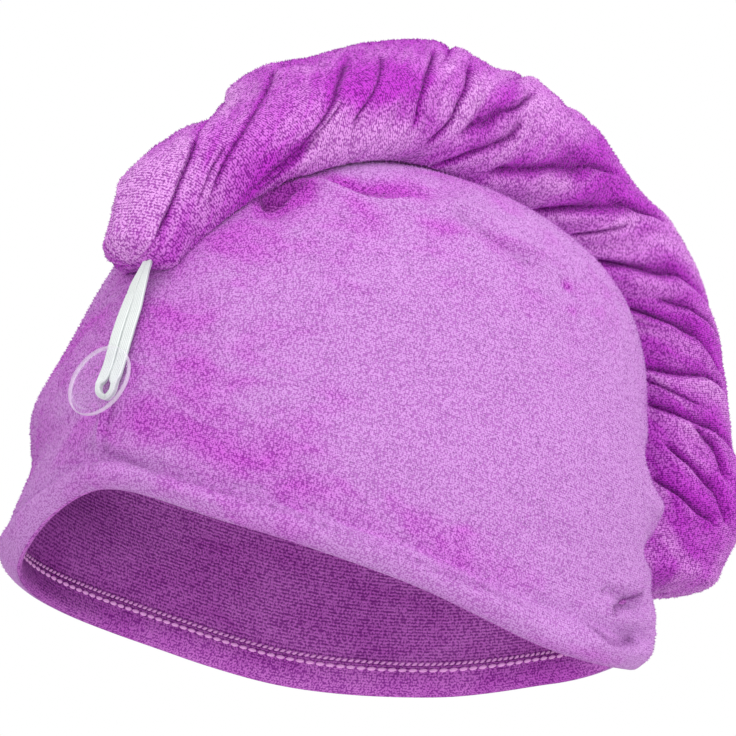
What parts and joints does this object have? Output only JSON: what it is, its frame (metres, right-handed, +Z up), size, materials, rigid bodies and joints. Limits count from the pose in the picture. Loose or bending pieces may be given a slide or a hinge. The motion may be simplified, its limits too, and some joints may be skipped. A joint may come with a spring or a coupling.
{
  "type": "hair turban towel",
  "caption": "Hair turban towel in its worn form: a hollow plush hood with a twisted tail over the crown, held at the nape by an elastic loop on a clear button.",
  "frame": {"origin": "where the inner face of the hood's crown rests on the head", "axes": "+Z up, +Y to the nape, -Y to the forehead, +X to the wearer's left"},
  "size_m": [0.1762, 0.2737, 0.1971],
  "materials": {
    "plush_orchid": "short plush pile",
    "plush_orchid_dark": "short plush pile, brushed the other way",
    "elastic_white": "ribbed elastic",
    "button_clear": "clear, polished"
  },
  "bodies": {
    "root": {"hood": "plush_orchid", "twisted_tail": "plush_orchid_dark", "elastic_loop": "elastic_white", "button": "button_clear"}
  },
  "joints": []
}
